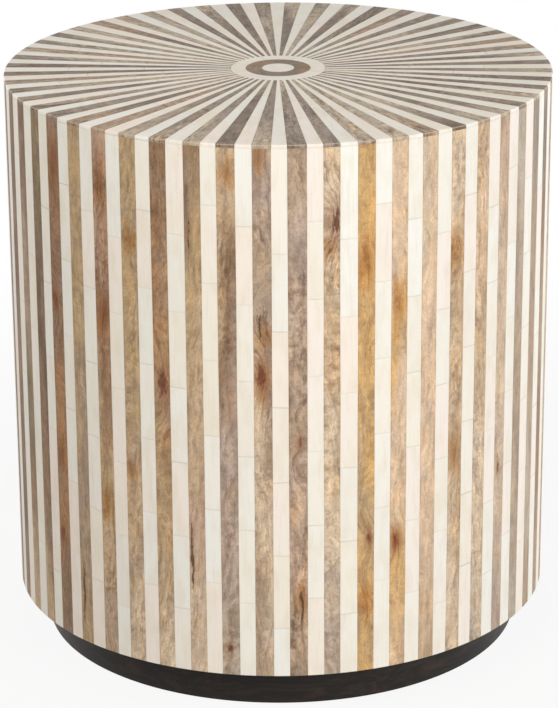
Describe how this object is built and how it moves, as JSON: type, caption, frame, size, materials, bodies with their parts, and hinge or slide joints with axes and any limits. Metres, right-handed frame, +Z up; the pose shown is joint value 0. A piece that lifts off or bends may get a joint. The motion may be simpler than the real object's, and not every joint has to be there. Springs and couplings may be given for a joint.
{
  "type": "side table",
  "caption": "Round drum side table with upright bone and wood inlay stripes, a sunburst inlaid top, a set-back black plinth and hidden levelling feet.",
  "frame": {"origin": "on the floor under the middle of the table, with the levelling feet screwed right in", "axes": "+Z up through the middle of the top; -Y is the front, where a bone strip is in the middle"},
  "size_m": [0.45, 0.45, 0.48],
  "materials": {
    "bone": "satin",
    "inlay_wood": "satin",
    "core_panel": "matte",
    "core_wood": "matte",
    "plinth_black": "satin",
    "beech": "matte",
    "screw_steel": "satin",
    "insert_brass": "satin",
    "stem_steel": "satin",
    "foot_nylon": "matte"
  },
  "bodies": {
    "root": {"side_bone_tiles": "bone", "top_bone_wedges": "bone", "medallion_bone_ring": "bone", "medallion_bone_disc": "bone", "side_wood_strips": "inlay_wood", "top_wood_wedges": "inlay_wood", "medallion_wood_ring": "inlay_wood", "top_panel": "core_panel", "bottom_panel": "core_panel", "stave_01": "core_wood", "stave_02": "core_wood", "stave_03": "core_wood", "stave_04": "core_wood", "stave_05": "core_wood", "stave_06": "core_wood", "stave_07": "core_wood", "stave_08": "core_wood", "stave_09": "core_wood", "stave_10": "core_wood", "stave_11": "core_wood", "stave_12": "core_wood", "stave_13": "core_wood", "stave_14": "core_wood", "stave_15": "core_wood", "stave_16": "core_wood", "stave_17": "core_wood", "stave_18": "core_wood", "stave_19": "core_wood", "stave_20": "core_wood", "stave_21": "core_wood", "stave_22": "core_wood", "stave_23": "core_wood", "stave_24": "core_wood", "stave_25": "core_wood", "stave_26": "core_wood", "top_hoop": "core_wood", "middle_hoop": "core_wood", "bottom_hoop": "core_wood", "plinth_segment_1": "plinth_black", "plinth_segment_2": "plinth_black", "plinth_segment_3": "plinth_black", "plinth_segment_4": "plinth_black", "plinth_segment_5": "plinth_black", "plinth_segment_6": "plinth_black", "plinth_segment_7": "plinth_black", "plinth_segment_8": "plinth_black", "plinth_biscuits": "beech", "top_hoop_screws": "screw_steel", "bottom_hoop_screws": "screw_steel", "plinth_screws": "screw_steel", "leveller_inserts": "insert_brass"},
    "stem_1": {"leveller_stem_1": "stem_steel"},
    "foot_1": {"leveller_foot_1": "foot_nylon"},
    "stem_2": {"leveller_stem_2": "stem_steel"},
    "foot_2": {"leveller_foot_2": "foot_nylon"},
    "stem_3": {"leveller_stem_3": "stem_steel"},
    "foot_3": {"leveller_foot_3": "foot_nylon"},
    "stem_4": {"leveller_stem_4": "stem_steel"},
    "foot_4": {"leveller_foot_4": "foot_nylon"}
  },
  "joints": [
    {"name": "stem_travel_1", "type": "slide", "parent": "root", "child": "stem_1", "axis": [0, 0, -1], "range_m": [0, 0.01]},
    {"name": "foot_turn_1", "type": "hinge", "parent": "stem_1", "child": "foot_1", "pos_m": [0.12304, -0.12304, 0.0035], "axis": [0, 0, -1], "range_deg": [0, 2880]},
    {"name": "stem_travel_2", "type": "slide", "parent": "root", "child": "stem_2", "axis": [0, 0, -1], "range_m": [0, 0.01]},
    {"name": "foot_turn_2", "type": "hinge", "parent": "stem_2", "child": "foot_2", "pos_m": [0.12304, 0.12304, 0.0035], "axis": [0, 0, -1], "range_deg": [0, 2880]},
    {"name": "stem_travel_3", "type": "slide", "parent": "root", "child": "stem_3", "axis": [0, 0, -1], "range_m": [0, 0.01]},
    {"name": "foot_turn_3", "type": "hinge", "parent": "stem_3", "child": "foot_3", "pos_m": [-0.12304, 0.12304, 0.0035], "axis": [0, 0, -1], "range_deg": [0, 2880]},
    {"name": "stem_travel_4", "type": "slide", "parent": "root", "child": "stem_4", "axis": [0, 0, -1], "range_m": [0, 0.01]},
    {"name": "foot_turn_4", "type": "hinge", "parent": "stem_4", "child": "foot_4", "pos_m": [-0.12304, -0.12304, 0.0035], "axis": [0, 0, -1], "range_deg": [0, 2880]}
  ],
  "couplings": [
    {"joint": "stem_travel_1", "follows": "foot_turn_1", "m_per_rad": 0.00019894},
    {"joint": "stem_travel_2", "follows": "foot_turn_2", "m_per_rad": 0.00019894},
    {"joint": "stem_travel_3", "follows": "foot_turn_3", "m_per_rad": 0.00019894},
    {"joint": "stem_travel_4", "follows": "foot_turn_4", "m_per_rad": 0.00019894}
  ]
}
